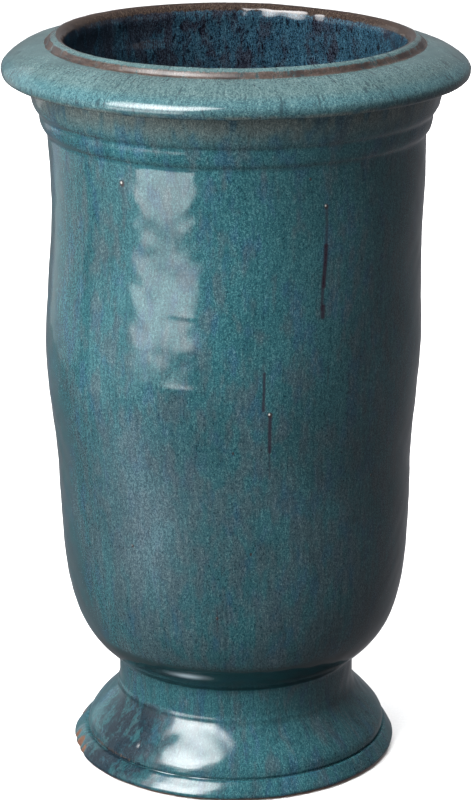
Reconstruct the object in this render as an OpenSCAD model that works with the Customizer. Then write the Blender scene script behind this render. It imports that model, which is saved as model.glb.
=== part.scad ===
// Tall glazed pedestal planter: thrown and luted stoneware sections under two glaze coats.
// The whole surface is one outline, [radius, height], that runs up the outside from the foot,
// over the lip and down the inside to the drain hole. The clay sections are cut from the same
// outline set back by the glaze, so every section meets its neighbours face to face.

/* [Overall] */
// Height from the ground to the crest of the lip
pot_height = 678; // [640:1:720]
// Radius of the rim at its widest
rim_r = 210; // [204:1:216]
// Thickness of the wall with its glaze, inside and out
wall = 15.8; // [14:0.1:18]
// Thickness of each glaze coat
glaze = 1.2; // [0.8:0.1:1.5]

/* [Foot] */
// Outer radius of the ring that the pot stands on
stand_r = 145; // [142:1:148]
// Radius of the bead round the base
bead_r = 152.3; // [150:0.1:156]
// Height of the bead's widest line
bead_z = 5; // [4:0.5:7]
// Radius of the groove above the bead
foot_groove_r = 138.5; // [137:0.5:142]
// Height of the groove above the bead
foot_groove_z = 15.5; // [14:0.5:20]
// How far the flared skirt bellies out above the groove
flare_belly = 11; // [6:1:14]
// How high the belly of the skirt stands
flare_rise = 14; // [8:1:18]
// Length of the upright sweep where the skirt meets the neck
flare_sweep = 16; // [8:1:20]
// Inner radius of the foot at the ground
hollow_r = 126; // [122:1:128]

/* [Neck] */
// Outer radius of the neck ring
neck_r = 111; // [109:0.5:114]
// Inner radius of the neck ring
neck_in_r = 92; // [88:1:94]
// Height of the crease between foot and neck
neck_low_z = 64.5; // [62:0.5:68]
// Height of the crease between neck and bowl
neck_top_z = 94; // [90:0.5:98]

/* [Bowl and barrel] */
// Radius where the bowl turns into the barrel
bowl_r = 163.6; // [160:0.2:167]
// Height where the bowl turns into the barrel
bowl_z = 268; // [255:1:285]
// How far out the bottom of the bowl spreads before it turns up
bowl_spread = 44; // [36:1:50]
// How far the bottom of the bowl rises as it spreads
bowl_rise = 25; // [18:1:32]
// How far below its top the side of the bowl is nearly upright
bowl_straight = 103; // [90:1:110]
// Radius of the low bulge at the seam between the two thrown walls
seam_r = 172.1; // [169:0.1:175]
// Height of the seam
seam_z = 392; // [370:1:410]
// Radius of the waist above the seam
waist_r = 168.8; // [167:0.1:170]
// Height of the waist
waist_z = 498; // [470:1:520]

/* [Collar] */
// Radius of the wall just under the collar
collar_foot_r = 170.4; // [169.8:0.1:172]
// Drop from the lip to the lower corner of the collar
collar_foot_drop = 85; // [82:1:90]
// Radius of the lower band
lower_band_r = 177; // [176:0.2:179]
// Drop from the lip to the corner between the bands
band_drop = 67; // [64:1:70]
// Radius of the upper band
upper_band_r = 185.1; // [183:0.1:188]

/* [Rim and lip] */
// Drop from the lip to the underside of the rim
rim_under_drop = 35.4; // [33:0.2:38]
// Drop from the lip to the widest line of the rim
rim_edge_drop = 27; // [24:0.5:29]
// Radius of the groove where the rim meets the lip
lip_groove_r = 168.4; // [168:0.1:169]
// Drop from the lip to that groove
lip_groove_drop = 7.6; // [6:0.2:8.4]
// How far the flat inner part of the rim's top reaches out from the groove
rim_flat = 22; // [14:1:28]
// Height of the upright outer part of the rim's edge
rim_brow = 7; // [4:0.5:9]
// Radius of the crest of the lip
crest_r = 160; // [159:0.5:161]
// Drop from the crest to the straight mouth
lip_round = 6; // [5:0.5:7]

/* [Floor] */
// Radius of the drain hole
drain_r = 13; // [9:0.5:18]
// Radius of the floor slab
slab_r = 99; // [97:0.5:100]

/* [Hidden] */
$fn = 180;

clay_colour = "#9a5b39";
outer_glaze_colour = "#3f7c80";
inner_glaze_colour = "#1f4b64";

// The two axes of a point
R = 0;
Z = 1;

// Heights of the upper features
collar_foot_z = pot_height - collar_foot_drop;
band_z = pot_height - band_drop;
rim_under_z = pot_height - rim_under_drop;
rim_edge_z = pot_height - rim_edge_drop;
lip_groove_z = pot_height - lip_groove_drop;
mouth_r = waist_r - wall;
// Radius of the round under the rim's edge
rim_round = 3;
// How far the rim's brow, the side of the bowl and the top of the skirt lean
brow_lean = 1.4;
bowl_lean = 3;
sweep_lean = 1.3;
// How far the flat of the rim slopes down
flat_slope = 1.5;
// How far in from the groove the lip's outer shoulder lies
lip_shoulder = 3;
// Step of the clay ring round the drain hole that stays bare
bare_ring = 4;
// Half width and depth of the V keys that lock two luted sections
key_half = 3;
key_deep = 2.5;
// First point of the bead that carries glaze: the clay below it is bare
glaze_start = 4;
// Steps along each side of the lip
LIP_STEPS = 6;

// --- curves ---------------------------------------------------------------

// Curve from a to c, pulled towards b
function curve3(a, b, c, n) = [for (i = [0:n]) let (t = i / n)
    a * pow(1 - t, 2) + b * 2 * t * (1 - t) + c * pow(t, 2)];

// Curve from a to d, leaving towards b and arriving from c
function curve4(a, b, c, d, n) = [for (i = [0:n]) let (t = i / n)
    a * pow(1 - t, 3) + b * 3 * t * pow(1 - t, 2) + c * 3 * pow(t, 2) * (1 - t) + d * pow(t, 3)];

// Part of an ellipse round centre, between two angles
function round_off(centre, rx, rz, from, to, n) = [for (i = [0:n])
    let (a = from + (to - from) * i / n) centre + [rx * cos(a), rz * sin(a)]];

// Gentle swell from a to b, upright at both ends
function swell(a, b, n) = [for (i = [0:n]) let (t = i / n)
    [a[R] + (b[R] - a[R]) * (1 - cos(180 * t)) / 2, a[Z] + (b[Z] - a[Z]) * t]];

// Points first to last of a line, and a line in reverse
function span(line, first, last) = [for (i = [first:last]) line[i]];
function reverse(line) = [for (i = [len(line) - 1:-1:0]) line[i]];

// All but the last point, so that the next stretch can start on it
function open_end(line) = span(line, 0, len(line) - 2);

// Left-hand normal of the edge that starts at point i: it points into the clay
function edge_normal(line, i) = let (k = max(0, min(i, len(line) - 2)), d = line[k + 1] - line[k])
    [-d[Z], d[R]] / norm(d);

// The line set back by depth, square to its edges
function set_back(line, depth) = [for (i = [0:len(line) - 1])
    let (before = edge_normal(line, i - 1), after = edge_normal(line, i), mid = before + after)
    line[i] + mid * depth / (mid * before)];

// --- outline --------------------------------------------------------------

foot_groove = [foot_groove_r, foot_groove_z];
neck_low = [neck_r, neck_low_z];
neck_top = [neck_r, neck_top_z];
bowl_top = [bowl_r, bowl_z];
seam = [seam_r, seam_z];
waist = [waist_r, waist_z];
collar_foot = [collar_foot_r, collar_foot_z];
upper_band = [upper_band_r, rim_under_z];
rim_edge = [rim_r, rim_edge_z];
lip_groove = [lip_groove_r, lip_groove_z];
crest = [crest_r, pot_height];

bead_line = concat(
    open_end(round_off([stand_r, bead_z], bead_r - stand_r, bead_z, -90, 0, 8)),
    round_off([foot_groove_r, bead_z], bead_r - foot_groove_r, foot_groove_z - bead_z, 0, 90, 8));
flare_line = curve4(foot_groove, foot_groove + [flare_belly, flare_rise],
    neck_low + [sweep_lean, -flare_sweep], neck_low, 12);
bowl_line = curve4(neck_top, neck_top + [bowl_spread, bowl_rise],
    bowl_top - [bowl_lean, bowl_straight], bowl_top, 20);
lower_barrel = swell(bowl_top, seam, 8);
upper_barrel = concat(open_end(swell(seam, waist, 8)), swell(waist, collar_foot, 6));
lower_band_line = round_off([collar_foot_r, band_z], lower_band_r - collar_foot_r,
    band_z - collar_foot_z, -90, 0, 6);
upper_band_line = round_off([lower_band_r, rim_under_z], upper_band_r - lower_band_r,
    rim_under_z - band_z, -90, 0, 6);
rim_line = concat([upper_band],
    open_end(round_off([rim_r - rim_round, rim_edge_z], rim_round, rim_edge_z - rim_under_z, -90, 0, 6)),
    curve4(rim_edge, rim_edge + [-brow_lean, rim_brow], lip_groove + [rim_flat, -flat_slope], lip_groove, 12));
lip_line = concat(open_end(curve3(lip_groove, [lip_groove_r - lip_shoulder, pot_height], crest, LIP_STEPS)),
    round_off([crest_r, pot_height - lip_round], crest_r - mouth_r, lip_round, 90, 180, LIP_STEPS));

// The inside follows the outside of bowl and barrel at the wall's thickness, then rises straight
inside_up = set_back(concat(open_end(bowl_line), open_end(lower_barrel), swell(seam, waist, 8)), wall);
inside_line = concat([[mouth_r, waist_z]], reverse(open_end(inside_up)),
    [[drain_r + bare_ring, inside_up[0][Z]]]);

stretches = [bead_line, flare_line, [neck_low, neck_top], bowl_line, lower_barrel, upper_barrel,
             lower_band_line, upper_band_line, rim_line, lip_line];
outside = [for (s = stretches) each open_end(s)];
surface = concat(outside, [lip_line[len(lip_line) - 1]], inside_line);
clay = set_back(surface, glaze);

// Index in the outline of the point where a stretch starts
function start_of(k) = k == 0 ? 0 : start_of(k - 1) + len(stretches[k - 1]) - 1;
i_flare = start_of(1);
i_neck = start_of(2);
i_bowl = start_of(3);
i_barrel = start_of(4);
i_seam = start_of(5);
i_lower_band = start_of(6);
i_upper_band = start_of(7);
i_rim = start_of(8);
i_lip = start_of(9);
i_crest = i_lip + LIP_STEPS;
i_floor = len(surface) - 2;
i_seam_in = i_floor - (i_seam - i_bowl);
wall_r = clay[i_lip][R];
floor_z = clay[i_floor][Z];
seam_mid_r = (clay[i_seam][R] + clay[i_seam_in][R]) / 2;
seam_at = clay[i_seam][Z];
slab_z = clay[i_bowl][Z];
neck_base_z = clay[i_neck][Z];
bead_top_z = clay[i_flare][Z];

// --- joints ---------------------------------------------------------------

// V key across a level joint, from the outside in: the upper section has the ridge
function key(mid, z) = [[mid + key_half, z], [mid, z - key_deep], [mid - key_half, z]];

foot_key = key((foot_groove_r + hollow_r) / 2, bead_top_z);
neck_key = key((neck_r + neck_in_r) / 2, neck_base_z);
bowl_key = key((neck_r + slab_r) / 2, slab_z);
seam_key = key((clay[i_seam][R] + seam_mid_r) / 2, seam_at);

// --- sections -------------------------------------------------------------

module turn(outline) {
    rotate_extrude() polygon(outline);
}

module upper_wall() {
    color(clay_colour) turn(concat(
        reverse(seam_key), span(clay, i_seam, i_lower_band),
        [[wall_r, clay[i_lower_band][Z]]],
        span(clay, i_lip, i_seam_in - 1),
        [[seam_mid_r, seam_at]]));
}

module lower_wall() {
    color(clay_colour) turn(concat(
        reverse(bowl_key), span(clay, i_bowl, i_seam),
        seam_key, [[seam_mid_r, seam_at]],
        span(clay, i_seam_in + 1, i_floor),
        [[slab_r, floor_z], [slab_r, slab_z]]));
}

module seam_coil() {
    color(clay_colour) turn(concat([[seam_mid_r, seam_at]], span(clay, i_seam_in - 1, i_seam_in + 1)));
}

module floor_slab() {
    color(clay_colour) translate([0, 0, slab_z]) difference() {
        cylinder(h = floor_z - slab_z, r = slab_r);
        translate([0, 0, -1]) cylinder(h = floor_z - slab_z + 2, r = drain_r);
    }
}

module neck_ring() {
    color(clay_colour) turn(concat(
        reverse(neck_key), [clay[i_neck], clay[i_bowl]],
        bowl_key, [[neck_in_r, slab_z], [neck_in_r, neck_base_z]]));
}

module pedestal_foot() {
    hollow = curve3([neck_in_r, neck_base_z], [hollow_r - 8, bead_top_z + 22], [hollow_r, bead_top_z], 8);
    color(clay_colour) turn(concat(
        reverse(foot_key), span(clay, i_flare, i_neck),
        neck_key, hollow));
}

module foot_bead() {
    color(clay_colour) turn(concat(
        [[hollow_r, 0], [clay[0][R], 0]], span(clay, 1, i_flare),
        foot_key, [[hollow_r, bead_top_z]]));
}

module lower_collar_band() {
    color(clay_colour) turn(concat(
        [[wall_r, clay[i_lower_band][Z]]], span(clay, i_lower_band, i_upper_band),
        [[wall_r, clay[i_upper_band][Z]]]));
}

module upper_collar_band() {
    color(clay_colour) turn(concat(
        [[wall_r, clay[i_upper_band][Z]]], span(clay, i_upper_band, i_rim),
        [[wall_r, clay[i_rim][Z]]]));
}

module rim_flange() {
    color(clay_colour) turn(concat([[wall_r, clay[i_rim][Z]]], span(clay, i_rim, i_lip)));
}

module outer_glaze() {
    color(outer_glaze_colour) turn(concat(
        span(surface, glaze_start, i_crest), reverse(span(clay, glaze_start, i_crest))));
}

module inner_glaze() {
    color(inner_glaze_colour) turn(concat(
        span(surface, i_crest, len(surface) - 1), reverse(span(clay, i_crest, len(clay) - 1))));
}

upper_wall();
lower_wall();
seam_coil();
floor_slab();
neck_ring();
pedestal_foot();
foot_bead();
lower_collar_band();
upper_collar_band();
rim_flange();
outer_glaze();
inner_glaze();
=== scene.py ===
"""Looks for a tall glazed pedestal planter.

Every piece is turned again from its CAD section at a finer pitch and given the waver of a hand-thrown
pot. The two glaze coats also get their own relief: throwing ridges, chips, pooled creases.
Lengths are in metres. Angles go round the pot from the front (0), positive to the right.
"""
import math

import bpy
import numpy as np
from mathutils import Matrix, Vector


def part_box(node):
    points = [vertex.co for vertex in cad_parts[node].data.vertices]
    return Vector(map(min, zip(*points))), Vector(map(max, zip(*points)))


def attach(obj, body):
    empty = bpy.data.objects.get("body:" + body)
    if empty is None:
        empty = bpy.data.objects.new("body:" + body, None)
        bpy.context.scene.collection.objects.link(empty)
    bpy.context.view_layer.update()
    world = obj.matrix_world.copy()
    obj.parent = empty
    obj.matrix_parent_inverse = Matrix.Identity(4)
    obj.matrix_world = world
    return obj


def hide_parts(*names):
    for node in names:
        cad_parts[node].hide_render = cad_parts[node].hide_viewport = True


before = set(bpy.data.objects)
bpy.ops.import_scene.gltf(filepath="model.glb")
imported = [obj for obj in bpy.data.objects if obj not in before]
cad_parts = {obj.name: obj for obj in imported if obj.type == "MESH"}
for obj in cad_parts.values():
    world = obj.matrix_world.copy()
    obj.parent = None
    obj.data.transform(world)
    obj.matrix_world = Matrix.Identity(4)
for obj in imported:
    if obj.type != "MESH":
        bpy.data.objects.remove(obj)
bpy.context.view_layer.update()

MM = 0.001

# --- camera and lights ------------------------------------------------------

CAMERA_BACK = 2.609
CAMERA_UP = 1.158
CAMERA_PITCH = math.radians(17.5)
LENS_MM = 133.3
SENSOR_MM = 36.0


def add_camera():
    """The camera stands in front of the pot, a little above the rim, and looks down at it."""
    data = bpy.data.cameras.new("camera")
    data.lens = LENS_MM
    data.sensor_width = SENSOR_MM
    data.sensor_fit = "AUTO"
    camera = bpy.data.objects.new("camera", data)
    camera.location = (0, -CAMERA_BACK, CAMERA_UP)
    camera.rotation_euler = (math.radians(90) - CAMERA_PITCH, 0, 0)
    bpy.context.scene.collection.objects.link(camera)
    bpy.context.scene.camera = camera


def add_softbox(name, place, target, size, watts):
    """A rectangular area light at place, facing target."""
    data = bpy.data.lights.new(name, "AREA")
    data.shape = "RECTANGLE"
    data.size, data.size_y = size
    data.energy = watts
    light = bpy.data.objects.new(name, data)
    light.location = place
    to_target = np.array(target) - np.array(place)
    yaw = math.atan2(to_target[1], to_target[0]) - math.pi / 2
    drop = math.atan2(to_target[2], math.hypot(to_target[0], to_target[1]))
    light.rotation_euler = (math.pi / 2 + drop, 0, yaw)
    bpy.context.scene.collection.objects.link(light)
    return light


KEY_ANGLE = math.radians(42)
KEY_BACK = 1.4
KEY_UP = 1.265
KEY_AIM = (0, 0, 0.09)
KEY_SIZE = (1.15, 1.85)
KEY_WATTS = 26
KEY_SPREAD = math.radians(80)
# The upright panels under the key: name, bottom, top, width, and how brightly each glows
LOW_PANELS = [("panel_top", 0.27, 0.66, 1.0, 5.5), ("panel_wide", 0.150, 0.27, 1.0, 5.0),
              ("panel_narrow", 0.120, 0.150, 0.76, 4.6), ("panel_foot", 0.045, 0.120, 0.70, 1.0)]
LOW_PANEL_BACK = 1.45
# Dim panels that the pot's left side mirrors: name, place, size, watts
SIDE_PANELS = [("left_panel", (-2.1, -0.6, 0.5), (1.6, 1.8), 5.2),
               ("back_panel", (-2.2, 1.6, 0.8), (2.4, 2.4), 8)]
SIDE_PANEL_AIM = (0, 0, 0.4)
# Light on the pot's back, which the front view never sees: place, aim, size, watts
BACK_FILL = ((0.4, 3.0, 1.4), (0, 0, 0.35), (2.0, 2.0), 105)
# Light on the floor behind the pot: place, aim, size, watts
FLOOR_WASH = ((0, 3.3, 3.0), (0, 3.3, 0), (8.0, 5.0), 200)
FLOOR_WASH_SPREAD = math.radians(60)


def on_key_side(back, up):
    """A place in the key light's direction from the pot."""
    return -back * math.sin(KEY_ANGLE), -back * math.cos(KEY_ANGLE), up


def add_lights():
    """A tall softbox leans over the pot from the front left, with dim panels below and behind it."""
    key = add_softbox("key", on_key_side(KEY_BACK, KEY_UP), KEY_AIM, KEY_SIZE, KEY_WATTS)
    key.data.spread = KEY_SPREAD
    for name, low, high, wide, glow in LOW_PANELS:
        middle = (low + high) / 2
        size = (wide, high - low)
        watts = glow * math.pi * size[0] * size[1]
        add_softbox(name, on_key_side(LOW_PANEL_BACK, middle), (0, 0, middle), size, watts)
    for name, place, size, watts in SIDE_PANELS:
        add_softbox(name, place, SIDE_PANEL_AIM, size, watts)
    fill = add_softbox("back_fill", *BACK_FILL)
    fill.visible_glossy = False
    wash = add_softbox("floor_wash", *FLOOR_WASH)
    wash.data.spread = FLOOR_WASH_SPREAD
    wash.visible_glossy = False
    bpy.context.scene.view_settings.view_transform = "Standard"


ROOM_COLOUR = (0.95, 0.94, 1.0, 1)
ROOM_BELOW, ROOM_ABOVE = 0.22, 0.26
# The room brightens between these upward parts of a direction
ROOM_TURN = (-0.1, 0.4)


def add_studio():
    """The dim room round the set, a little lighter above than below."""
    world = bpy.data.worlds.new("studio")
    world.use_nodes = True
    tree = world.node_tree
    direction = tree.nodes.new("ShaderNodeSeparateXYZ")
    put(tree, direction.inputs[0], tree.nodes.new("ShaderNodeTexCoord").outputs["Generated"])
    strength = between(tree, direction.outputs["Z"], *ROOM_TURN, ROOM_BELOW, ROOM_ABOVE)
    tree.nodes["Background"].inputs["Color"].default_value = ROOM_COLOUR
    put(tree, tree.nodes["Background"].inputs["Strength"], strength)
    bpy.context.scene.world = world


FLOOR_HALF = 12.0


def add_floor():
    """A pale studio floor, wide enough to fill the view."""
    corners = [(x * FLOOR_HALF, y * FLOOR_HALF, 0) for x, y in ((-1, -1), (1, -1), (1, 1), (-1, 1))]
    mesh = bpy.data.meshes.new("floor")
    mesh.from_pydata(corners, [], [(0, 1, 2, 3)])
    floor = bpy.data.objects.new("floor", mesh)
    bpy.context.scene.collection.objects.link(floor)
    mesh.materials.append(floor_paper())
    # The white paper neither lights the glaze nor is mirrored in it, as in a cut-out product picture
    floor.visible_diffuse = False
    floor.visible_glossy = False


# --- sections ---------------------------------------------------------------

ON_SEAM = 1e-6


def seam_links(mesh):
    """The mesh's points on its seam, the half plane y = 0, x > 0, each with its neighbours there."""
    seam = {}
    for vertex in mesh.vertices:
        x, y, z = vertex.co
        if abs(y) < ON_SEAM and x > 0:
            seam[vertex.index] = (round(x, 6), round(z, 6))
    links = {}
    for edge in mesh.edges:
        a, b = (seam.get(i) for i in edge.vertices)
        if a and b and a != b:
            links.setdefault(a, set()).add(b)
            links.setdefault(b, set()).add(a)
    # A level ring has no edge along the seam, so its two loose ends are joined here
    loose = sorted((p for p in links if len(links[p]) == 1), key=lambda p: (p[1], p[0]))
    for a, b in zip(loose[::2], loose[1::2]):
        links[a].add(b)
        links[b].add(a)
    return links


def section(node):
    """The node's cross-section: a loop of (radius, height), running up on its outer side."""
    links = seam_links(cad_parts[node].data)
    start = min(links, key=lambda p: (p[1], -p[0]))
    loop, before = [start], None
    while True:
        following = [p for p in links[loop[-1]] if p != before]
        before = loop[-1]
        if not following or (following[0] == start and len(loop) > 2):
            break
        loop.append(following[0])
    loop = np.array(loop)
    ahead = np.roll(loop, -1, axis=0)
    area = (loop[:, 0] * ahead[:, 1] - ahead[:, 0] * loop[:, 1]).sum()
    return loop if area > 0 else np.roll(loop[::-1], 1, axis=0)


def rotate_to(loop, index):
    """The same loop, starting at that point."""
    return np.roll(loop, -index, axis=0)


def nearest(line, place):
    """Index of the point of the line nearest to a place."""
    return int(np.linalg.norm(line - np.array(place), axis=1).argmin())


def turns(before, after):
    """The angles, without sign, between the directions before and the directions after."""
    bend = np.arctan2(after[:, 1], after[:, 0]) - np.arctan2(before[:, 1], before[:, 0])
    return np.abs((bend + math.pi) % (2 * math.pi) - math.pi)


def finer(line, step, corner=math.radians(30)):
    """The line with points about step apart, rounded where it bends gently, with its corners kept.
    Each stretch is a centripetal spline through its two ends and their neighbours."""
    line = np.asarray(line, float)
    edge = np.diff(line, axis=0)
    is_corner = np.concatenate([[True], turns(edge[:-1], edge[1:]) > corner, [True]])
    out = [line[0]]
    for i in range(len(line) - 1):
        a, b = line[i], line[i + 1]
        before = 2 * a - b if is_corner[i] else line[i - 1]
        after = 2 * b - a if is_corner[i + 1] else line[i + 2]
        gaps = [max(np.linalg.norm(q - p), 1e-9) ** 0.5 for p, q in ((before, a), (a, b), (b, after))]
        count = max(1, math.ceil(np.linalg.norm(b - a) / step))
        slope_a = (a - before) / gaps[0] - (b - before) / (gaps[0] + gaps[1]) + (b - a) / gaps[1]
        slope_b = (b - a) / gaps[1] - (after - a) / (gaps[1] + gaps[2]) + (after - b) / gaps[2]
        for t in (np.arange(1, count + 1) / count):
            ease = t * t * (3 - 2 * t)
            out.append(a * (1 - ease) + b * ease
                       + slope_a * gaps[1] * t * (1 - t) ** 2 - slope_b * gaps[1] * t * t * (1 - t))
    return np.array(out)


def soften(line, passes, weight=1.0):
    """The line with its corners eased: each pass moves a point towards its two neighbours."""
    line = line.copy()
    weight = np.broadcast_to(weight, len(line))[1:-1, None]
    for _ in range(passes):
        eased = (line[:-2] + 2 * line[1:-1] + line[2:]) / 4
        line[1:-1] += weight * (eased - line[1:-1])
    return line


def run_along(line):
    """The distance along a line of each of its points."""
    return np.concatenate([[0], np.cumsum(np.linalg.norm(np.diff(line, axis=0), axis=1))])


# --- the waver of a thrown pot ----------------------------------------------

NECK_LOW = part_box("neck_ring")[0].z
NECK_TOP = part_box("lower_wall")[0].z
NECK_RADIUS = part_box("neck_ring")[1].x
BARREL_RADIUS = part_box("lower_wall")[1].x
COLLAR_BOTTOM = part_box("lower_collar_band")[0].z
BAND_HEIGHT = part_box("upper_collar_band")[0].z
RIM_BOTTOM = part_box("rim_flange")[0].z
GROOVE_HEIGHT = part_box("rim_flange")[1].z
POT_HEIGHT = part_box("outer_glaze")[1].z

# Waves in a random field
WAVE_COUNT = 14


def bell(value, centre, width):
    """1 at the centre, falling smoothly to 0 over about two widths."""
    return np.exp(-((value - centre) / width) ** 2)


def bells(value, places):
    """Several bells added up: the centre, width and size of each."""
    return sum(size * bell(value, centre, width) for centre, width, size in places)


def step_up(value, low, high):
    """0 below low, 1 above high, smooth between."""
    t = np.clip((value - low) / (high - low), 0, 1)
    return t * t * (3 - 2 * t)


def waves(turn, along, seed, rounds, lengths):
    """A smooth random field of about unit height round the pot: rounds is the range of waves per turn,
    and lengths the range of wavelengths along the profile."""
    rng = np.random.default_rng(seed)
    total = np.zeros(np.broadcast(turn, along).shape)
    for _ in range(WAVE_COUNT):
        k = rng.integers(rounds[0], rounds[1] + 1)
        length = rng.uniform(*lengths) * rng.choice((-1, 1))
        phase = rng.uniform(0, 2 * math.pi)
        total += np.cos(k * turn + 2 * math.pi * along / length + phase)
    return total * math.sqrt(2 / WAVE_COUNT)


def from_angle(turn, degrees, half):
    """1 at an angle round the pot, falling to 0 over about twice the half width, in degrees."""
    away = np.degrees((turn - math.radians(degrees) + math.pi) % (2 * math.pi) - math.pi)
    return bell(away, 0, half)


# Chips on the bead of the foot: angle in degrees, half width in degrees, depth
CHIPS = [(-76, 2.6, 1.9 * MM), (-70, 1.6, 1.2 * MM), (-83, 2.0, 1.5 * MM), (-101, 2.4, 1.6 * MM),
         (128, 2.6, 1.5 * MM), (171, 1.8, 1.2 * MM)]
CHIP_TOP = 16 * MM
CHIPPED_FROM = (0.12, 0.135)


def chips(turn, z):
    """How deep the bead of the foot is chipped."""
    depth = np.zeros(np.broadcast(turn, z).shape)
    for angle, half, deepest in CHIPS:
        depth += deepest * from_angle(turn, angle, half) * bell(z, CHIP_TOP / 3, CHIP_TOP / 2)
    return depth


# How the pot's axis wanders to the right and to the back: height, half height, distance
SWAYS = [(0.535, 0.050, 2.4 * MM), (0.365, 0.090, -3.4 * MM)]
LEANS = [(0.300, 0.110, 1.6 * MM), (0.500, 0.080, -1.4 * MM)]
# The foot's lower edge stands to the left
FOOT_SHIFT = 2.2 * MM
FOOT_SHIFT_FADES = (6 * MM, 26 * MM)
# Random lumps: seed, range of waves round the pot, range of wavelengths
BODY_LUMPS = (7, (2, 5), (0.16, 0.40))
# The rim bulges at the back left and is pressed in and down at the back right
RIM_BEND_ANGLE = math.radians(130)
RIM_BEND_WIDTH = 0.18
RIM_OUT, RIM_IN, RIM_DOWN = 2.2 * MM, 2.4 * MM, 1.8 * MM


def body_waver(turn, z):
    """How far the body stands out of round, less under the stiff rim."""
    free = 1 - step_up(z, COLLAR_BOTTOM - 60 * MM, RIM_BOTTOM)
    oval = 0.7 * MM * np.cos(2 * turn + 0.6) * free
    lumps = 0.35 * MM * waves(turn, z, *BODY_LUMPS) * step_up(z, 0.09, 0.16)
    return oval + lumps * (0.25 + 0.75 * free)


def rim_waver(turn, r, z):
    """How far the rim stands out, and how far it droops."""
    on_rim = step_up(z, RIM_BOTTOM - 12 * MM, RIM_BOTTOM + 8 * MM)
    back_left = bell(np.cos(turn + RIM_BEND_ANGLE), 1, RIM_BEND_WIDTH)
    back_right = bell(np.cos(turn - RIM_BEND_ANGLE), 1, RIM_BEND_WIDTH)
    trimmed_edge = 0.45 * MM * step_up(r, 0.19, 0.21)
    out = on_rim * (RIM_OUT * back_left - RIM_IN * back_right - trimmed_edge)
    tilt = 0.3 * MM * (1 + np.cos(2 * turn + 1.1))
    drooping_edge = 1.2 * MM * step_up(r, 0.188, 0.207) * (1 - 0.7 * from_angle(turn, 6, 14))
    return out, on_rim * (RIM_DOWN * back_right + tilt + drooping_edge)


def waver(turn, r, z):
    """Where a point of the true round lies on the thrown pot, as x, y, z."""
    rim_out, rim_droop = rim_waver(turn, r, z)
    radius = r + body_waver(turn, z) + rim_out - chips(turn, z) * step_up(r, *CHIPPED_FROM)
    right = bells(z, SWAYS) - FOOT_SHIFT * (1 - step_up(z, *FOOT_SHIFT_FADES))
    back = bells(z, LEANS)
    return radius * np.sin(turn) + right, -radius * np.cos(turn) + back, z - rim_droop


# --- turning ----------------------------------------------------------------

SHARP_CORNER = math.radians(38)


def ring_faces(rings, segments):
    """Four-sided faces between neighbouring rings, the last of which joins the first."""
    ring = np.arange(rings)[:, None]
    seg = np.arange(segments)[None, :]
    below, above = ring * segments, ((ring + 1) % rings) * segments
    ahead = (seg + 1) % segments
    return np.stack([below + seg, below + ahead, above + ahead, above + seg], axis=-1).reshape(-1, 4)


def smooth_mesh(name, co, faces):
    """A smooth-shaded mesh of four-sided faces."""
    mesh = bpy.data.meshes.new(name)
    mesh.vertices.add(len(co))
    mesh.vertices.foreach_set("co", co.astype(np.float32).ravel())
    mesh.loops.add(faces.size)
    mesh.loops.foreach_set("vertex_index", faces.astype(np.int32).ravel())
    mesh.polygons.add(len(faces))
    mesh.polygons.foreach_set("loop_start", np.arange(0, faces.size, 4, dtype=np.int32))
    mesh.update(calc_edges=True)
    mesh.shade_smooth()
    return mesh


def mark_corners(mesh, loop, segments):
    """Marks the rings where the section turns a sharp corner, so that shading breaks there."""
    sharp_ring = turns(loop - np.roll(loop, 1, axis=0), np.roll(loop, -1, axis=0) - loop) > SHARP_CORNER
    ends = np.empty(len(mesh.edges) * 2, np.int32)
    mesh.edges.foreach_get("vertices", ends)
    ring_a, ring_b = (ends.reshape(-1, 2) // segments).T
    sharp = (ring_a == ring_b) & sharp_ring[ring_a]
    layer = mesh.attributes.new("sharp_edge", "BOOLEAN", "EDGE")
    layer.data.foreach_set("value", sharp)


def store(mesh, name, values, vector=False):
    """Keeps one value or vector per vertex for the materials."""
    kind, key = ("FLOAT_VECTOR", "vector") if vector else ("FLOAT", "value")
    layer = mesh.attributes.new(name, kind, "POINT")
    layer.data.foreach_set(key, np.ascontiguousarray(values, np.float32).ravel())


def lifted(loop, turn, along, relief, surface):
    """The loop's radii and heights round the pot, with its glazed side lifted square to the section."""
    r, z = (np.repeat(loop[:, k:k + 1], turn.size, axis=1) for k in (0, 1))
    tangent = np.gradient(loop[:surface], axis=0)
    tangent /= np.linalg.norm(tangent, axis=1)[:, None]
    lift = relief(turn, loop[:surface, :1], loop[:surface, 1:], along[:surface])
    r[:surface] += lift * tangent[:, 1:]
    z[:surface] -= lift * tangent[:, :1]
    return r, z


def turned(name, loop, segments, material, node, relief=None, surface=0, marks=None, start=0):
    """A closed ring turned from a loop. The first `surface` points of the loop are the glazed side:
    relief(turn, r, z, along) lifts them square to the section. marks are named functions of
    (turn, r, z), kept per point for the materials. start is the distance along the whole coat at
    which the loop begins."""
    r, z = loop[:, :1], loop[:, 1:]
    turn = (np.arange(segments) * 2 * math.pi / segments)[None, :]
    along = start + run_along(loop)[:, None]
    values = {key: mark(turn, r, z) for key, mark in (marks or {}).items()}
    if relief is not None:
        r, z = lifted(loop, turn, along, relief, surface)
    co = np.stack(np.broadcast_arrays(*waver(turn, r, z)), axis=-1).reshape(-1, 3)
    mesh = smooth_mesh(name, co, ring_faces(len(loop), segments))
    mark_corners(mesh, loop, segments)
    flow = np.broadcast_arrays(BARREL_RADIUS * np.sin(turn), -BARREL_RADIUS * np.cos(turn), along)
    store(mesh, "flow", np.stack(flow, axis=-1), vector=True)
    for key, value in values.items():
        store(mesh, key, np.broadcast_to(value, (len(loop), segments)))
    mesh.materials.append(material)
    piece = bpy.data.objects.new(name, mesh)
    bpy.context.scene.collection.objects.link(piece)
    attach(piece, "root")
    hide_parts(node)


# --- clay -------------------------------------------------------------------

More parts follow.
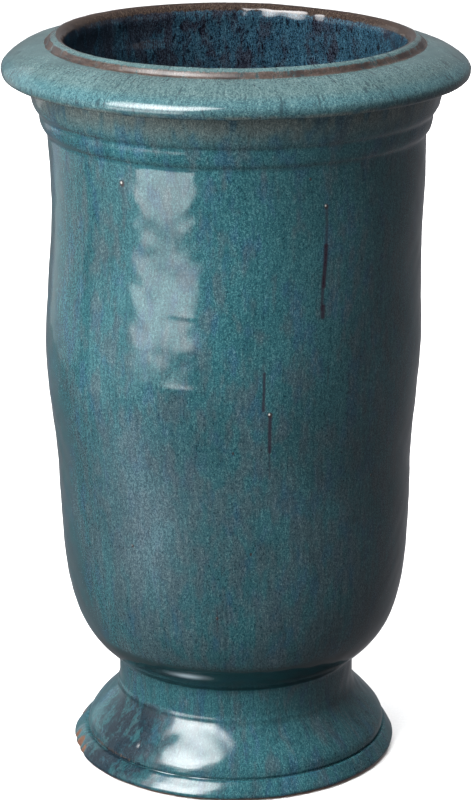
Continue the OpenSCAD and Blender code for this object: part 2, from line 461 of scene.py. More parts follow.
CLAY_NODES = ["upper_wall", "lower_wall", "seam_coil", "floor_slab", "neck_ring", "pedestal_foot",
              "foot_bead", "lower_collar_band", "upper_collar_band", "rim_flange"]
CLAY_SEGMENTS = 192
CLAY_STEP = 6 * MM
FOOT_SEGMENTS, BARREL_SEGMENTS, RIM_SEGMENTS, INNER_SEGMENTS = 440, 272, 480, 256


def closed_finer(loop, step):
    """A closed loop made finer, without repeating its first point."""
    return finer(np.vstack([loop, loop[:1]]), step)[:-1]


def add_clay():
    """Each clay section, turned again with the waver of the pot."""
    clay = clay_material()
    for node in CLAY_NODES:
        # The bead takes the foot glaze's segments, so that its chips match those in the glaze
        segments = FOOT_SEGMENTS if node == "foot_bead" else CLAY_SEGMENTS
        turned(node + "_thrown", closed_finer(section(node), CLAY_STEP), segments, clay, node)


# --- glaze ------------------------------------------------------------------

def coat_lines(node):
    """The two sides of a glaze coat from its lowest point to its crest: the surface and the back."""
    loop = section(node)
    loop = rotate_to(loop, int(loop[:, 1].argmin()))
    crest = int(loop[:, 1].argmax())
    return loop[:crest + 1], loop[crest + 1:][::-1]


# The outer coat is cut into three pieces at two creases, so that no piece is too fine a mesh
OUTER_SURFACE, OUTER_BACK = coat_lines("outer_glaze")
NECK_CREASE = nearest(OUTER_SURFACE, (NECK_RADIUS, NECK_TOP))
COLLAR_CREASE = nearest(OUTER_SURFACE, (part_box("upper_wall")[1].x, COLLAR_BOTTOM - MM))
CUTS = [0, NECK_CREASE, COLLAR_CREASE, len(OUTER_SURFACE) - 1]
# Each piece: name, step along its surface, segments round it
OUTER_PIECES = [("glaze_foot", 1.5 * MM, FOOT_SEGMENTS), ("glaze_barrel", 2.6 * MM, BARREL_SEGMENTS),
                ("glaze_rim", 1.3 * MM, RIM_SEGMENTS)]
OUTER_BACK_STEP = 6 * MM
INNER_STEP, INNER_BACK_STEP = 3.2 * MM, 8 * MM

# The bead of the foot under its glaze: a slanted top that the groove barely parts from the flare
BEAD_TOP = [(152.0 * MM, 6.2 * MM), (149.2 * MM, 10.6 * MM), (146.6 * MM, 13.6 * MM),
            (143.8 * MM, 16.7 * MM), (141.4 * MM, 19.0 * MM), (140.4 * MM, 22.0 * MM)]
BEAD_HEIGHTS = (5.5 * MM, 24 * MM)
BEAD_INSIDE = 139.46 * MM
GLAZED_GROOVE_HEIGHT = 19.5 * MM
# Creases filled softly with pooled glaze: height, half height, passes of softening
FILLED_CREASES = [(NECK_TOP, 7 * MM, 10), (NECK_LOW, 5 * MM, 6), (BAND_HEIGHT, 4 * MM, 5),
                  (COLLAR_BOTTOM, 5 * MM, 5), (RIM_BOTTOM, 6 * MM, 14)]


def with_bead(line):
    """The line with its groove above the bead filled and the bead's top slanted."""
    low, high = BEAD_HEIGHTS
    on_bead = (line[:, 1] > low) & (line[:, 1] < high) & (line[:, 0] > BEAD_INSIDE)
    places = np.flatnonzero(on_bead)
    path = finer([line[places[0]]] + BEAD_TOP + [line[places[-1]]], MM)
    along = run_along(path)
    at = np.linspace(0, along[-1], len(places))
    line = line.copy()
    line[places] = np.stack([np.interp(at, along, path[:, k]) for k in (0, 1)], axis=1)
    return line


def eased_outer():
    """The outer surface made fine, its creases filled softly with pooled glaze, and its new cuts."""
    parts, cuts = [OUTER_SURFACE[:1]], [0]
    for first, last, (_, step, _) in zip(CUTS[:-1], CUTS[1:], OUTER_PIECES):
        parts.append(finer(OUTER_SURFACE[first:last + 1], step)[1:])
        cuts.append(cuts[-1] + len(parts[-1]))
    line = soften(with_bead(np.vstack(parts)), 2)
    height = line[:, 1]
    for place, width, passes in FILLED_CREASES:
        line = soften(line, passes, bell(height, place, width))
    return line, cuts


OUTER_LINE, OUTER_CUTS = eased_outer()
OUTER_ALONG = run_along(OUTER_LINE)

# Random fields of the outer coat: seed, range of waves round the pot, range of wavelengths
SLOW_SWELL = (21, (5, 15), (0.060, 0.130))
QUICK_SWELL = (22, (16, 44), (0.020, 0.045))
RIDGE_FADE = (23, (1, 4), (0.2, 0.5))
FOOT_SWELL = (24, (8, 22), (0.020, 0.050))
# A crater in the foot's glaze: angle, height, half width, depth
CRATER = (-41, 33 * MM, 2.6 * MM, 1.3 * MM)
CRATER_RADIUS = 0.135
# Finger marks that catch the light: angle, half width in degrees, height, half height, depth
FINGER_MARKS = [(-13, 7, 0.396, 3 * MM, 0.50 * MM), (-13, 7, 0.463, 3 * MM, 0.40 * MM)]
# Throwing ridges: height, half height, depth
RIDGES = [(0.400, 4 * MM, 0.10 * MM), (0.466, 4 * MM, 0.08 * MM), (0.432, 5 * MM, 0.10 * MM),
          (0.352, 6 * MM, 0.14 * MM), (0.300, 6 * MM, 0.10 * MM), (0.505, 5 * MM, 0.06 * MM),
          (0.552, 6 * MM, 0.05 * MM), (0.246, 7 * MM, 0.12 * MM), (0.198, 6 * MM, 0.08 * MM),
          (NECK_LOW + 1 * MM, 1.8 * MM, 0.8 * MM)]
# How far the corner under the rim is filled, from this far below it, inside these radii
RIM_FILL = 1.5 * MM
RIM_FILL_BELOW = 24 * MM
RIM_FILL_RADII = (0.186, 0.189)
# The coats sink a little at their shared crest, to stay inside the CAD's height
CREST_SINK = 0.5 * MM


def outer_relief(turn, r, z, along):
    """Throwing ridges, finger marks, slow lumps and a crater on the outside."""
    on_barrel = step_up(z, 0.11, 0.16) * (1 - step_up(z, COLLAR_BOTTOM - 20 * MM, COLLAR_BOTTOM))
    lift = (0.05 + 0.05 * on_barrel) * MM * waves(turn, along, *SLOW_SWELL)
    lift = lift + 0.06 * MM * waves(turn, along, *QUICK_SWELL)
    lift = lift + bells(z, RIDGES) * (0.6 + 0.4 * waves(turn, z, *RIDGE_FADE))
    for angle, half, height, width, size in FINGER_MARKS:
        lift = lift + size * from_angle(turn, angle, half) * bell(z, height, width)
    on_foot = 1 - step_up(z, NECK_LOW - 4 * MM, NECK_LOW + 8 * MM)
    lift = lift + 0.10 * MM * on_foot * waves(turn, along, *FOOT_SWELL)
    under_rim = step_up(z, RIM_BOTTOM - RIM_FILL_BELOW, RIM_BOTTOM)
    under_rim = under_rim * (1 - step_up(z, RIM_BOTTOM, RIM_BOTTOM + 2 * MM))
    lift = lift + RIM_FILL * under_rim * (1 - step_up(r, *RIM_FILL_RADII))
    angle, height, wide, deep = CRATER
    half = math.degrees(wide / CRATER_RADIUS)
    lift = lift - deep * from_angle(turn, angle, half) * bell(z, height, wide)
    return lift - CREST_SINK * bell(z, POT_HEIGHT, 5 * MM)


# Random fields of the inner coat: seed, range of waves round the pot, range of wavelengths
INNER_SWELL = (31, (5, 14), (0.060, 0.140))
RIDGE_WOBBLE = (32, (1, 3), (0.1, 0.3))
LIP_DRIPS = (33, (14, 46), (0.02, 0.05))
INNER_RIDGE_PITCH = 0.016
# A roll of glaze below the lip and a dent above it: height, half height, size
LIP_ROLL = [(POT_HEIGHT - 13 * MM, 6 * MM, 1.2 * MM), (POT_HEIGHT - 3 * MM, 2 * MM, -0.4 * MM)]


def inner_relief(turn, r, z, along):
    """Finger ridges and slow lumps on the inside, and drips below the lip."""
    lumps = 0.20 * MM * waves(turn, along, *INNER_SWELL)
    wobble = 0.7 * waves(turn, z, *RIDGE_WOBBLE)
    ridges = 0.22 * MM * np.cos(2 * math.pi * z / INNER_RIDGE_PITCH + wobble)
    below_lip = 1 - step_up(z, POT_HEIGHT - 50 * MM, POT_HEIGHT - 20 * MM)
    drips = 0.26 * MM * waves(turn, z, *LIP_DRIPS) * (1 - step_up(z, 0.672, 0.676))
    lift = (lumps + ridges) * below_lip + drips * (1 - below_lip) + bells(z, LIP_ROLL)
    return lift - CREST_SINK * bell(z, POT_HEIGHT, 4 * MM)


def add_glaze():
    """The outer coat in three pieces that meet in its creases, and the inner coat."""
    glaze = outer_glaze_material()
    for k, (name, _, segments) in enumerate(OUTER_PIECES):
        face = OUTER_LINE[OUTER_CUTS[k]:OUTER_CUTS[k + 1] + 1]
        inside = finer(OUTER_BACK[CUTS[k]:CUTS[k + 1] + 1], OUTER_BACK_STEP)
        turned(name, np.vstack([face, inside[::-1]]), segments, glaze, "outer_glaze",
               outer_relief, len(face), OUTER_MARKS, OUTER_ALONG[OUTER_CUTS[k]])
    inner = section("inner_glaze")
    inner = rotate_to(inner, int(inner[:, 1].argmax()))
    drain = int(inner[:, 0].argmin())
    face = soften(finer(inner[:drain + 1], INNER_STEP), 1)
    inside = finer(inner[drain + 1:], INNER_BACK_STEP)
    turned("glaze_inside", np.vstack([face, inside]), INNER_SEGMENTS, inner_glaze_material(),
           "inner_glaze", inner_relief, len(face), INNER_MARKS)


# --- marks: where the glaze changes, from 0 to 1 -----------------------------

LIP_BAND_RADII = (0.1695, 0.1715)


def mark_thin(turn, r, z):
    """Where the glaze runs thin and breaks brown: the lip's outer side and the foot groove."""
    above_groove = step_up(z, GROOVE_HEIGHT - 0.4 * MM, GROOVE_HEIGHT + 0.6 * MM)
    in_front = (1 + np.cos(turn)) / 2
    covered = step_up(z, GROOVE_HEIGHT + 5.2 * MM, GROOVE_HEIGHT + 7.2 * MM) * in_front
    on_lip = above_groove * (1 - step_up(r, *LIP_BAND_RADII)) * (1 - covered)
    on_foot = bell(z, GLAZED_GROOVE_HEIGHT, 1.6 * MM) * (0.25 + 0.5 * from_angle(turn, -58, 22))
    return on_lip + on_foot


def mark_painted_reflection(turn, r, z):
    """A painted reflection: a pale streak in the pooled glaze under the bowl, where the foot's
    highlight is mirrored.
    """
    return from_angle(turn, -19, 6) * bell(z, 0.1135, 2.6 * MM)


def mark_bare(turn, r, z):
    """Bare clay: the chips and the foot's lower edge."""
    return 1 - step_up(z, 1.8 * MM, 4.6 * MM) + chips(turn, z) / (1.1 * MM)


def mark_pool_and_shade(turn, r, z):
    """Where the glaze pools dark in the creases and under the bowl; the darkness is partly painted
    shade.
    """
    pool_and_shade_under_bowl = step_up(z, NECK_TOP - 1 * MM, NECK_TOP + 2 * MM) * (1 - step_up(z, 0.119, 0.134))
    creases = [(NECK_LOW - 2 * MM, 3 * MM, 0.35), (BAND_HEIGHT, 1.3 * MM, 0.3),
               (COLLAR_BOTTOM, 1.3 * MM, 0.25)]
    return pool_and_shade_under_bowl + bells(z, creases)


def mark_rim(turn, r, z):
    """The rim, above its lower corner."""
    return step_up(z, RIM_BOTTOM + 1 * MM, RIM_BOTTOM + 7 * MM)


def mark_edge(turn, r, z):
    """The bluer strip along the rim's edge."""
    return step_up(r, 0.196, 0.207)


def mark_olive(turn, r, z):
    """The olive cast of the collar under the rim."""
    above = step_up(z, RIM_BOTTOM + 1 * MM, RIM_BOTTOM + 6 * MM)
    return step_up(z, BAND_HEIGHT - 4 * MM, RIM_BOTTOM - 10 * MM) * (1 - above)


def mark_collar(turn, r, z):
    """The collar, which is bluer and lighter."""
    above = step_up(z, RIM_BOTTOM - 4 * MM, RIM_BOTTOM + 4 * MM)
    return step_up(z, COLLAR_BOTTOM - 20 * MM, COLLAR_BOTTOM + 5 * MM) * (1 - above)


def mark_low(turn, r, z):
    """The greyer lower half of the barrel."""
    return (1 - step_up(z, 0.10, 0.62)) * step_up(z, 0.09, 0.12)


def mark_painted_sheen(turn, r, z):
    """A painted reflection: a grey sheen low on the left of the barrel."""
    by_height = (1 - step_up(z, 0.28, 0.42)) * step_up(z, 0.13, 0.26)
    return (0.05 + 0.48 * from_angle(turn, -30, 15)) * by_height


def mark_foot(turn, r, z):
    """The foot, inkier at the left of the front."""
    below = 1 - step_up(z, NECK_LOW - 2 * MM, NECK_LOW + 10 * MM)
    return below * (0.40 + 0.85 * from_angle(turn, -52, 21))


def mark_lip_inside(turn, r, z):
    """Where the inner coat runs thin towards the lip."""
    return step_up(z, POT_HEIGHT - 11 * MM, POT_HEIGHT - 3 * MM)


def mark_side(turn, r, z):
    """-1 at the left of the pot to 1 at its right."""
    return np.sin(turn)


OUTER_MARKS = {"thin": mark_thin, "painted_reflection": mark_painted_reflection, "bare": mark_bare, "pool_and_shade": mark_pool_and_shade,
               "rim": mark_rim, "edge": mark_edge, "olive": mark_olive, "collar": mark_collar,
               "low": mark_low, "painted_sheen": mark_painted_sheen, "foot": mark_foot}
INNER_MARKS = {"thin": mark_lip_inside, "side": mark_side}


# --- shader nodes -----------------------------------------------------------

def new_material(name):
    """A material with an empty node tree and its output."""
    material = bpy.data.materials.new(name)
    material.use_nodes = True
    tree = material.node_tree
    tree.nodes.clear()
    return material, tree, tree.nodes.new("ShaderNodeOutputMaterial")


def put(tree, socket, value):
    """Links an output to a socket, or sets the socket's own value."""
    if isinstance(value, bpy.types.NodeSocket):
        tree.links.new(value, socket)
    else:
        socket.default_value = value


def attribute(tree, name, output="Fac"):
    """A value or vector that the mesh keeps."""
    node = tree.nodes.new("ShaderNodeAttribute")
    node.attribute_name = name
    return node.outputs[output]


def vector_calc(tree, operation, a, b):
    """Vector arithmetic."""
    node = tree.nodes.new("ShaderNodeVectorMath")
    node.operation = operation
    put(tree, node.inputs[0], a)
    put(tree, node.inputs[1], b)
    return node.outputs[0]


def calc(tree, operation, a, b, clamp=False):
    """Arithmetic on two values."""
    node = tree.nodes.new("ShaderNodeMath")
    node.operation = operation
    node.use_clamp = clamp
    put(tree, node.inputs[0], a)
    put(tree, node.inputs[1], b)
    return node.outputs[0]


def plus(tree, a, b):
    """a + b."""
    return calc(tree, "ADD", a, b)


def minus(tree, a, b):
    """a - b."""
    return calc(tree, "SUBTRACT", a, b)


def times(tree, a, b):
    """a * b."""
    return calc(tree, "MULTIPLY", a, b)


def grey(tree, value):
    """A grey as bright as a value."""
    node = tree.nodes.new("ShaderNodeCombineColor")
    for channel in ("Red", "Green", "Blue"):
        put(tree, node.inputs[channel], value)
    return node.outputs["Color"]


def noise(tree, vector, scale, detail=2.0, roughness=0.5):
    """Soft noise, around 0.5."""
    node = tree.nodes.new("ShaderNodeTexNoise")
    put(tree, node.inputs["Vector"], vector)
    put(tree, node.inputs["Scale"], scale)
    put(tree, node.inputs["Detail"], detail)
    put(tree, node.inputs["Roughness"], roughness)
    return node.outputs["Fac"]


def streaks(tree, flow, scale, pull, detail=2.0, roughness=0.6, offset=0.0):
    """Noise drawn out along the pot's height, more so the smaller the pull."""
    if offset:
        flow = vector_calc(tree, "ADD", flow, (offset, offset, offset))
    return noise(tree, vector_calc(tree, "MULTIPLY", flow, (1, 1, pull)), scale, detail, roughness)


def between(tree, value, low, high, out_low=0.0, out_high=1.0):
    """value from low..high to out_low..out_high, clamped and smooth."""
    node = tree.nodes.new("ShaderNodeMapRange")
    node.interpolation_type = "SMOOTHSTEP"
    for name, given in zip(("Value", "From Min", "From Max", "To Min", "To Max"),
                           (value, low, high, out_low, out_high)):
        put(tree, node.inputs[name], given)
    return node.outputs["Result"]


def blended(tree, factor, a, b, kind="MIX"):
    """Colour a, turning into b as the factor goes from 0 to 1."""
    node = tree.nodes.new("ShaderNodeMix")
    node.data_type = "RGBA"
    node.blend_type = kind
    node.clamp_factor = True
    put(tree, node.inputs["Factor"], factor)
    put(tree, node.inputs[6], a)
    put(tree, node.inputs[7], b)
    return node.outputs[2]


def ramp(tree, factor, stops):
    """A colour ramp of (place, colour) stops."""
    node = tree.nodes.new("ShaderNodeValToRGB")
    elements = node.color_ramp.elements
    while len(elements) < len(stops):
        elements.new(0.5)
    for element, (place, colour) in zip(elements, stops):
        element.position = place
        element.color = colour
    put(tree, node.inputs["Fac"], factor)
    return node.outputs["Color"]


def bump(tree, height, distance, strength):
    """A normal bent by a height."""
    node = tree.nodes.new("ShaderNodeBump")
    put(tree, node.inputs["Height"], height)
    put(tree, node.inputs["Distance"], distance)
    put(tree, node.inputs["Strength"], strength)
    return node.outputs["Normal"]


def shader(tree, output, colour, roughness, normal, specular=0.5):
    """A Principled shader; every value that is the same all over is set on its own socket."""
    node = tree.nodes.new("ShaderNodeBsdfPrincipled")
    put(tree, node.inputs["Base Color"], colour)
    put(tree, node.inputs["Roughness"], roughness)
    put(tree, node.inputs["Normal"], normal)
    node.inputs["Specular IOR Level"].default_value = specular
    tree.links.new(node.outputs["BSDF"], output.inputs["Surface"])


def rgb(red, green, blue):
    """A colour given as it looks on a screen, 0 to 255, turned into a linear one."""
    linear = [((v / 255 + 0.055) / 1.055) ** 2.4 if v > 10 else v / 255 / 12.92
              for v in (red, green, blue)]
    return (*linear, 1.0)


# --- materials --------------------------------------------------------------

PAPER_GREYS = [(0.3, (0.76, 0.76, 0.76, 1)), (0.7, (0.80, 0.80, 0.80, 1))]
CLAY_BROWNS = [(0.3, rgb(132, 78, 46)), (0.5, rgb(160, 98, 60)), (0.7, rgb(176, 116, 78))]
CLAY_DARK_GRIT = rgb(92, 56, 38)
CLAY_PALE_GRIT = rgb(196, 146, 108)

# Glazes, each in four screen colours from its darkest speck to its lightest
TEAL = [(8, 42, 51), (28, 71, 79), (45, 91, 97), (88, 126, 128)]
BLUE = [(10, 36, 55), (29, 65, 83), (46, 85, 101), (90, 120, 130)]
SMOKE = [(24, 41, 49), (47, 67, 74), (66, 85, 91), (106, 120, 123)]
# The grey of the painted reflection low on the barrel's left, not a glaze of its own
SHEEN_SLATE = [(42, 52, 60), (76, 94, 104), (98, 116, 124), (132, 148, 152)]
OLIVE = [(44, 56, 56), (74, 86, 86), (92, 104, 102), (124, 134, 128)]
RIM_GREEN = [(28, 52, 57), (61, 84, 87), (77, 100, 101), (112, 130, 127)]
SEA = [(10, 48, 62), (32, 80, 92), (52, 102, 110), (96, 138, 138)]
NAVY = [(8, 20, 30), (18, 36, 48), (28, 50, 62), (62, 88, 96)]
LIP_BROWN = [(20, 16, 12), (44, 34, 28), (60, 50, 46), (92, 86, 84)]
BARE_CLAY = [(50, 32, 24), (74, 48, 36), (94, 64, 46), (118, 88, 66)]
INNER_BLUE = [(6, 10, 18), (16, 32, 44), (32, 58, 72), (70, 100, 108)]
PLUM = [(8, 8, 12), (20, 20, 28), (34, 36, 44), (56, 68, 78)]
INNER_BROWN = [(16, 12, 12), (34, 26, 22), (48, 38, 32), (76, 68, 60)]
SHADE_STOPS = (0.36, 0.46, 0.54, 0.66)
# Dark pooled glaze, also used as painted shade in the creases and under the bowl
POOL_AND_SHADE_GREEN = rgb(10, 36, 38)
# The pale colour of the painted reflection under the bowl
PAINTED_REFLECTION_COLOUR = rgb(176, 192, 200)
RIM_DASH = rgb(28, 44, 52)
BURNT_BROWN = rgb(30, 24, 24)
RUN_PURPLE = rgb(32, 26, 36)
PIT_BROWN = rgb(40, 30, 30)
# The near-white of the painted glints in the pinholes
PAINTED_PIT_GLINT = rgb(206, 204, 198)
CLOT_BLACK = rgb(8, 8, 16)
# Where the ragged edge of thin glaze turns brown, outside and inside
BREAKS = (0.3, 0.7)
INNER_BREAKS = (0.35, 0.75)


def floor_paper():
    """Pale seamless paper with the faintest tooth."""
    material, tree, output = new_material("floor_paper")
    place = tree.nodes.new("ShaderNodeTexCoord").outputs["Object"]
    grain = noise(tree, place, 300, 3)
    normal = bump(tree, grain, 0.1 * MM, 0.2)
    shader(tree, output, ramp(tree, grain, PAPER_GREYS), 0.9, normal, specular=0.1)
    return material


def clay_material():
    """Bare fired stoneware: matt, orange-brown, with grog and a few iron specks."""
    material, tree, output = new_material("stoneware_clay")
    place = tree.nodes.new("ShaderNodeTexCoord").outputs["Object"]
    cloud = noise(tree, place, 18, 4, 0.6)
    grit = noise(tree, place, 700, 3, 0.6)
    colour = ramp(tree, cloud, CLAY_BROWNS)
    colour = blended(tree, between(tree, grit, 0.58, 0.72, 0, 0.6), colour, CLAY_DARK_GRIT)
    colour = blended(tree, between(tree, grit, 0.36, 0.28, 0, 0.4), colour, CLAY_PALE_GRIT)
    normal = bump(tree, grit, 0.25 * MM, 0.6)
    shader(tree, output, colour, between(tree, cloud, 0.3, 0.7, 0.75, 0.9), normal, specular=0.3)
    return material


def shades(tree, grain, glaze):
    """A glaze's four colours spread over the range of a grain."""
    return ramp(tree, grain, [(place, rgb(*colour)) for place, colour in zip(SHADE_STOPS, glaze)])


# The parts of the grain: noise scale and share; what is missing from 1 is made up by an offset
FINE_SPECKS = (1150, 0.48)
SHORT_RUNS = (760, 0.34)
LONG_RUNS = (330, 0.12)
GRAIN_OFFSET = 0.03


def mixed_grain(tree, flow):
    """Fine specks, short runs and longer runs of a reactive glaze, added up around 0.5."""
    fine = noise(tree, flow, FINE_SPECKS[0], 2, 0.6)
    short = streaks(tree, flow, SHORT_RUNS[0], 0.5)
    long = streaks(tree, flow, LONG_RUNS[0], 0.1)
    grain = plus(tree, times(tree, fine, FINE_SPECKS[1]), times(tree, short, SHORT_RUNS[1]))
    grain = plus(tree, grain, times(tree, long, LONG_RUNS[1]))
    return plus(tree, grain, GRAIN_OFFSET), fine, short


def barrel_colour(tree, flow, grain, runs):
    """Teal with bluer runs and smoky veins, a painted grey reflection low on the left, and olive under
    the rim.
    """
    veins = streaks(tree, flow, 80, 0.4, offset=7.7)
    blue_at = plus(tree, runs, times(tree, attribute(tree, "collar"), 0.015))
    blue_at = between(tree, blue_at, 0.50, 0.66, 0, 0.85)
    colour = blended(tree, blue_at, shades(tree, grain, TEAL), shades(tree, grain, BLUE))
    smoke_at = plus(tree, veins, times(tree, attribute(tree, "low"), 0.12))
    smoke_at = between(tree, smoke_at, 0.48, 0.70, 0, 0.7)
    colour = blended(tree, smoke_at, colour, shades(tree, grain, SMOKE))
    # Painted reflection: a grey sheen low on the left of the barrel
    colour = blended(tree, attribute(tree, "painted_sheen"), colour, shades(tree, grain, SHEEN_SLATE))
    olive_at = times(tree, attribute(tree, "olive"), between(tree, runs, 0.62, 0.42, 0.25, 0.95))
    return blended(tree, olive_at, colour, shades(tree, grain, OLIVE))


def rim_colour(tree, grain, dash):
    """The paler rim, sea blue along its edge, with short dark dashes."""
    edge_at = times(tree, attribute(tree, "edge"), 0.45)
    colour = blended(tree, edge_at, shades(tree, grain, RIM_GREEN), shades(tree, grain, SEA))
    return blended(tree, between(tree, dash, 0.38, 0.30, 0, 0.6), colour, RIM_DASH)


def inky(tree, grain, mottle, colour):
    """The colour with the foot's inky patches over it."""
    patches = plus(tree, mottle, times(tree, attribute(tree, "foot"), 0.16))
    at = times(tree, attribute(tree, "foot"), between(tree, patches, 0.56, 0.72, 0, 0.95))
    return blended(tree, at, colour, shades(tree, grain, NAVY))


def shaded(tree, flow, colour):
    """The colour with soft clouds, darker low down and on the foot, lighter on the collar."""
    clouds = between(tree, streaks(tree, flow, 16, 0.5, detail=3), 0.35, 0.65, 0.65, 0.81)
    by_height = between(tree, attribute(tree, "low"), 0, 1, 1.0, 0.79)
    by_height = plus(tree, by_height, times(tree, attribute(tree, "collar"), 0.22))
    shade = times(tree, clouds, by_height)
    shade = times(tree, shade, between(tree, attribute(tree, "foot"), 0.5, 1.25, 1.0, 0.72))
    return blended(tree, 1.0, colour, grey(tree, shade), "MULTIPLY")


def pooled(tree, colour):
    """The colour, dark where the glaze pools and with painted shade in the creases and under the bowl,
    and with the painted reflection streak under the bowl.
    """
    # Painted shade: the creases and the bowl's underside are darkened along with the pooled glaze
    pool_and_shade_at = between(tree, attribute(tree, "pool_and_shade"), 0.05, 0.9, 0, 0.85)
    colour = blended(tree, pool_and_shade_at, colour, POOL_AND_SHADE_GREEN)
    # Painted reflection: a pale streak standing in for the foot's highlight mirrored under the bowl
    return blended(tree, times(tree, attribute(tree, "painted_reflection"), 0.9), colour, PAINTED_REFLECTION_COLOUR)


def ragged_edge(tree, short, runs, dash):
    """The thin mark with a ragged edge: brown above about a half."""
    specks = times(tree, minus(tree, short, 0.55), 1.8)
    ragged = plus(tree, attribute(tree, "thin"), specks)
    ragged = plus(tree, ragged, times(tree, minus(tree, runs, 0.5), 0.9))
    gaps = times(tree, minus(tree, dash, 0.50), 1.9)
    return plus(tree, ragged, times(tree, gaps, attribute(tree, "thin")))


def lip_brown(tree, grain, mottle):
    """The brown of thin glaze, burnt nearly black in patches."""
    burnt_at = between(tree, mottle, 0.46, 0.60, 0, 0.75)
    return blended(tree, burnt_at, shades(tree, grain, LIP_BROWN), BURNT_BROWN)


def glaze_roughness(tree, runs, mottle, ragged, bare):
    """Glossy where the glaze pools, cloudier on the foot, matt where it breaks thin or shows clay."""
    rough = between(tree, runs, 0.3, 0.7, 0.10, 0.18)
    cloudy = between(tree, mottle, 0.4, 0.6, 0, 0.12)
    rough = plus(tree, rough, times(tree, attribute(tree, "foot"), cloudy))
    rough = plus(tree, rough, between(tree, ragged, *BREAKS, 0, 0.2))
    rough = minus(tree, rough, times(tree, attribute(tree, "pool_and_shade"), 0.06))
    return calc(tree, "ADD", rough, times(tree, bare, 0.5), clamp=True)


def outer_glaze_material():
    """Reactive teal glaze: fine specks and short runs, soft clouds, brown where it breaks thin."""
    material, tree, output = new_material("outer_glaze")
    flow = attribute(tree, "flow", "Vector")
    grain, fine, short = mixed_grain(tree, flow)
    runs = streaks(tree, flow, 70, 0.4, offset=3.1)
    dash = streaks(tree, flow, 240, 0.25, roughness=0.5)
    mottle = noise(tree, vector_calc(tree, "ADD", flow, (5.3, 5.3, 5.3)), 48, 4, 0.7)
    ragged = ragged_edge(tree, short, runs, dash)
    bare = between(tree, plus(tree, attribute(tree, "bare"), minus(tree, fine, 0.5)), 0.45, 0.7)
    colour = barrel_colour(tree, flow, grain, runs)
    colour = blended(tree, attribute(tree, "rim"), colour, rim_colour(tree, grain, dash))
    colour = inky(tree, grain, mottle, colour)
    colour = pooled(tree, shaded(tree, flow, colour))
    colour = blended(tree, between(tree, ragged, *BREAKS), colour, lip_brown(tree, grain, mottle))
    colour = blended(tree, bare, colour, shades(tree, grain, BARE_CLAY))
    colour = spotted(tree, flow, colour)
    normal = bump(tree, noise(tree, flow, 260), 0.12 * MM, 0.12)
    shader(tree, output, colour, glaze_roughness(tree, runs, mottle, ragged, bare), normal)
    return material


# A run is clear beyond the first of these parts of its half width, and full within the second
RUN_FADE = (1.5, 0.4)
# Runs in the glaze: angle, top, bottom, half width in mm, strength
RUNS = [(26.4, 0.556, 0.505, 1.5, 0.6), (26.3, 0.522, 0.486, 2.1, 0.95),
        (26.0, 0.494, 0.466, 1.6, 0.75), (26.4, 0.468, 0.459, 2.2, 0.9),
        (9.0, 0.413, 0.379, 1.3, 0.8), (11.0, 0.374, 0.340, 1.7, 0.85), (11.0, 0.345, 0.314, 0.8, 0.5),
        (28.8, 0.413, 0.397, 1.0, 0.35), (-35.2, 0.574, 0.530, 1.2, 0.25),
        (-6.0, 0.190, 0.168, 0.9, 0.35)]
# Pinholes: angle, height, radius in mm, and how bright the painted glint in the middle is
PITS = [(26.3, 0.557, 1.9, 0.6), (11.0, 0.375, 2.0, 0.8), (-35.2, 0.574, 2.5, 0.6),
        (-34.0, 0.242, 1.1, 0.3), (-6.0, 0.182, 1.2, 0.1), (4.8, 0.244, 1.0, 0.0),
        (21.5, 0.582, 1.0, 0.1), (0.2, 0.340, 0.9, 0.0), (48.0, 0.300, 1.1, 0.2),
        (118.0, 0.430, 1.4, 0.5), (160.0, 0.250, 1.2, 0.2), (-120.0, 0.520, 1.5, 0.6),
        (-150.0, 0.330, 1.1, 0.1), (-92.0, 0.190, 1.2, 0.2)]
PIT_STRENGTH = 0.9
# The painted glint of a pinhole lies a little up and to the left of it
GLINT_LEFT_DEGREES = 0.25
GLINT_UP = 0.4 * MM
GLINT_SIZE = 0.36


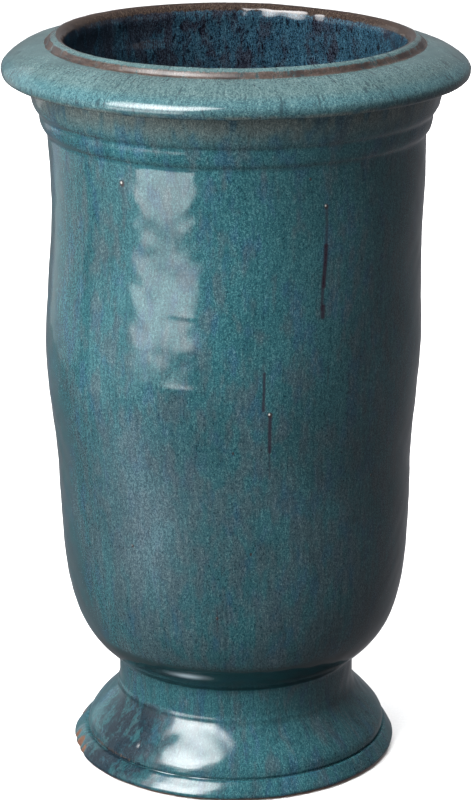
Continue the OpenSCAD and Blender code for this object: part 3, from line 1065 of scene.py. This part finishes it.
def near_run(tree, flow, angle, top, bottom, half):
    """1 on a thin upright line at an angle, between two heights, and 0 away from it."""
    turn = math.radians(angle)
    low, high = (float(np.interp(z, OUTER_LINE[:, 1], OUTER_ALONG)) for z in (bottom, top))
    foot = (BARREL_RADIUS * math.sin(turn), -BARREL_RADIUS * math.cos(turn), low)
    parts = tree.nodes.new("ShaderNodeSeparateXYZ")
    put(tree, parts.inputs[0], vector_calc(tree, "SUBTRACT", flow, foot))
    height = parts.outputs["Z"]
    inside = calc(tree, "MINIMUM", calc(tree, "MAXIMUM", height, 0.0), high - low)
    across = tree.nodes.new("ShaderNodeCombineXYZ")
    put(tree, across.inputs[0], parts.outputs["X"])
    put(tree, across.inputs[1], parts.outputs["Y"])
    put(tree, across.inputs[2], minus(tree, height, inside))
    away = tree.nodes.new("ShaderNodeVectorMath")
    away.operation = "LENGTH"
    put(tree, away.inputs[0], across.outputs[0])
    clear, full = (part * half * MM for part in RUN_FADE)
    return between(tree, away.outputs["Value"], clear, full)


def spotted(tree, flow, colour):
    """The colour with its dark runs and its pinholes, each ringed brown round a painted glint."""
    for angle, top, bottom, half, strength in RUNS:
        at = times(tree, near_run(tree, flow, angle, top, bottom, half), strength)
        colour = blended(tree, at, colour, RUN_PURPLE)
    for angle, height, radius, pale in PITS:
        ring = near_run(tree, flow, angle, height, height - MM, radius)
        colour = blended(tree, times(tree, ring, PIT_STRENGTH), colour, PIT_BROWN)
        # Painted highlight: a pale glint in the pinhole, painted into the colour
        if pale:
            middle = near_run(tree, flow, angle - GLINT_LEFT_DEGREES, height + GLINT_UP, height,
                              radius * GLINT_SIZE)
            colour = blended(tree, times(tree, middle, pale), colour, PAINTED_PIT_GLINT)
    return colour


def inner_glaze_material():
    """Darker, glossier blue glaze with purple-black mottling and long runs, with painted light towards
    the right.
    """
    material, tree, output = new_material("inner_glaze")
    flow = attribute(tree, "flow", "Vector")
    grain = mixed_grain(tree, flow)[0]
    side = attribute(tree, "side")
    clot = streaks(tree, flow, 200, 0.45, detail=3, offset=2.3)
    cloud = streaks(tree, flow, 55, 0.5, detail=4, roughness=0.7)
    # Painted light: the plum mottling thins towards the right of the inner wall, which faces the key
    # light
    cloud = plus(tree, cloud, times(tree, side, -0.06))
    plum_at = between(tree, cloud, 0.44, 0.60, 0, 0.9)
    colour = blended(tree, plum_at, shades(tree, grain, INNER_BLUE), shades(tree, grain, PLUM))
    # Painted light: the inner wall is made lighter towards the right, which faces the key light
    painted_light_right = grey(tree, between(tree, side, -0.2, 0.7, 1.0, 1.3))
    colour = blended(tree, 1.0, colour, painted_light_right, "MULTIPLY")
    colour = blended(tree, between(tree, clot, 0.42, 0.34, 0, 0.8), colour, CLOT_BLACK)
    ragged = plus(tree, attribute(tree, "thin"), minus(tree, clot, 0.5))
    brown = shades(tree, grain, INNER_BROWN)
    colour = blended(tree, between(tree, ragged, *INNER_BREAKS), colour, brown)
    normal = bump(tree, noise(tree, flow, 220), 0.12 * MM, 0.2)
    shader(tree, output, colour, 0.1, normal)
    return material


# --- the scene --------------------------------------------------------------

add_camera()
add_lights()
add_studio()
add_floor()
add_clay()
add_glaze()
